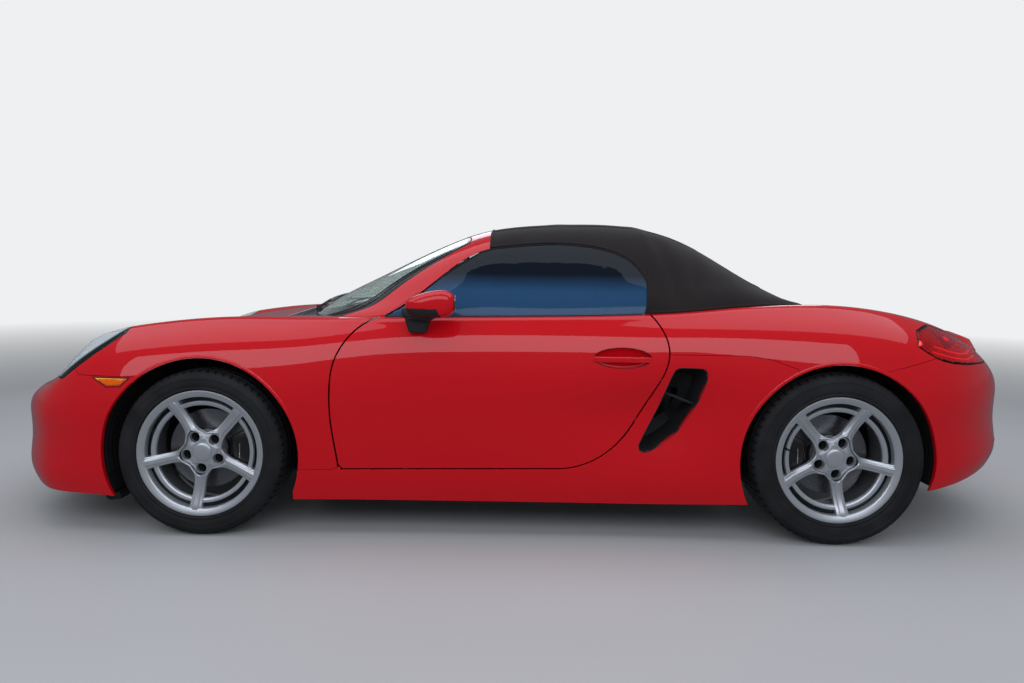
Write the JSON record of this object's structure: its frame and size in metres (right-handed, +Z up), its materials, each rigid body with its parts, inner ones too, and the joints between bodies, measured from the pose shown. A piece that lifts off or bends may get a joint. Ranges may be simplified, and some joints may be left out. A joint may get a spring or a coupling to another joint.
{
  "type": "convertible car",
  "caption": "Two-seat sports convertible with its soft top up, hinged doors and lids, steered front wheels and turning road wheels.",
  "frame": {"origin": "on the ground under the middle of the car", "axes": "+X towards the tail, so the front points to -X, +Y to the car's right side, +Z up"},
  "size_m": [4.374, 1.974, 1.2868],
  "materials": {
    "paint": "glossy clear coat",
    "structure": "matt black underbody",
    "lamp_glass": "clear lens",
    "tail_lens": "red lens",
    "window": "tinted glass",
    "roof_cloth": "woven soft top",
    "black_trim": "grained",
    "interior": "grained",
    "rim_silver": "painted silver",
    "tyre_rubber": "rubber",
    "suspension": "dark grey",
    "engine": "cast",
    "exhaust_steel": "brushed"
  },
  "bodies": {
    "root": {"tub": "structure", "front_bumper": "paint", "rear_bumper": "paint", "cowl": "black_trim", "deck": "paint", "windscreen_frame": "paint", "windscreen": "window", "soft_top": "roof_cloth", "rear_window": "window", "front_axle": "suspension", "rear_axle": "suspension", "dashboard": "interior", "steering_column": "black_trim", "engine_block": "engine", "exhaust": "exhaust_steel", "spoiler": "paint", "fender_left": "paint", "quarter_left": "paint", "side_panel_left": "paint", "headlamp_left": "lamp_glass", "tail_lamp_left": "tail_lens", "seat_left": "interior", "fender_right": "paint", "quarter_right": "paint", "side_panel_right": "paint", "headlamp_right": "lamp_glass", "tail_lamp_right": "tail_lens", "seat_right": "interior"},
    "front_lid": {"front_lid": "paint"},
    "rear_lid": {"rear_lid": "paint"},
    "steering_wheel": {"steering_wheel": "interior"},
    "door_left": {"door_left": "paint", "door_glass_left": "window", "mirror_left": "paint"},
    "knuckle_left": {"front_knuckle_left": "suspension"},
    "front_wheel_left": {"front_wheel_left": "rim_silver", "front_tyre_left": "tyre_rubber"},
    "rear_wheel_left": {"rear_wheel_left": "rim_silver", "rear_tyre_left": "tyre_rubber"},
    "door_right": {"door_right": "paint", "door_glass_right": "window", "mirror_right": "paint"},
    "knuckle_right": {"front_knuckle_right": "suspension"},
    "front_wheel_right": {"front_wheel_right": "rim_silver", "front_tyre_right": "tyre_rubber"},
    "rear_wheel_right": {"rear_wheel_right": "rim_silver", "rear_tyre_right": "tyre_rubber"}
  },
  "joints": [
    {"name": "steer_left", "type": "hinge", "parent": "root", "child": "knuckle_left", "pos_m": [-1.257, -0.713, 0.325], "axis": [0, 0, 1], "range_deg": [-30, 30]},
    {"name": "front_spin_left", "type": "hinge", "parent": "knuckle_left", "child": "front_wheel_left", "pos_m": [-1.257, -0.763, 0.325], "axis": [0, 1, 0], "continuous": true},
    {"name": "rear_spin_left", "type": "hinge", "parent": "root", "child": "rear_wheel_left", "pos_m": [1.218, -0.763, 0.337], "axis": [0, 1, 0], "continuous": true},
    {"name": "door_hinge_left", "type": "hinge", "parent": "root", "child": "door_left", "pos_m": [-0.69, -0.85, 0.46], "axis": [0, 0, -1], "range_deg": [0, 62]},
    {"name": "steer_right", "type": "hinge", "parent": "root", "child": "knuckle_right", "pos_m": [-1.257, 0.713, 0.325], "axis": [0, 0, 1], "range_deg": [-30, 30]},
    {"name": "front_spin_right", "type": "hinge", "parent": "knuckle_right", "child": "front_wheel_right", "pos_m": [-1.257, 0.763, 0.325], "axis": [0, 1, 0], "continuous": true},
    {"name": "rear_spin_right", "type": "hinge", "parent": "root", "child": "rear_wheel_right", "pos_m": [1.218, 0.763, 0.337], "axis": [0, 1, 0], "continuous": true},
    {"name": "door_hinge_right", "type": "hinge", "parent": "root", "child": "door_right", "pos_m": [-0.69, 0.85, 0.46], "axis": [0, 0, 1], "range_deg": [0, 62]},
    {"name": "front_lid_hinge", "type": "hinge", "parent": "root", "child": "front_lid", "pos_m": [-1.008, 0, 0.88], "axis": [0, 1, 0], "range_deg": [0, 50]},
    {"name": "rear_lid_hinge", "type": "hinge", "parent": "root", "child": "rear_lid", "pos_m": [1.348, 0, 0.925], "axis": [0, -1, 0], "range_deg": [0, 60]},
    {"name": "steering_wheel_turn", "type": "hinge", "parent": "root", "child": "steering_wheel", "pos_m": [-0.33, -0.36, 0.735], "axis": [0.9063, 0, 0.4226], "range_deg": [-425, 425]}
  ],
  "couplings": [
    {"joint": "steer_right", "follows": "steer_left", "ratio": 1},
    {"joint": "steering_wheel_turn", "follows": "steer_left", "ratio": 14}
  ]
}
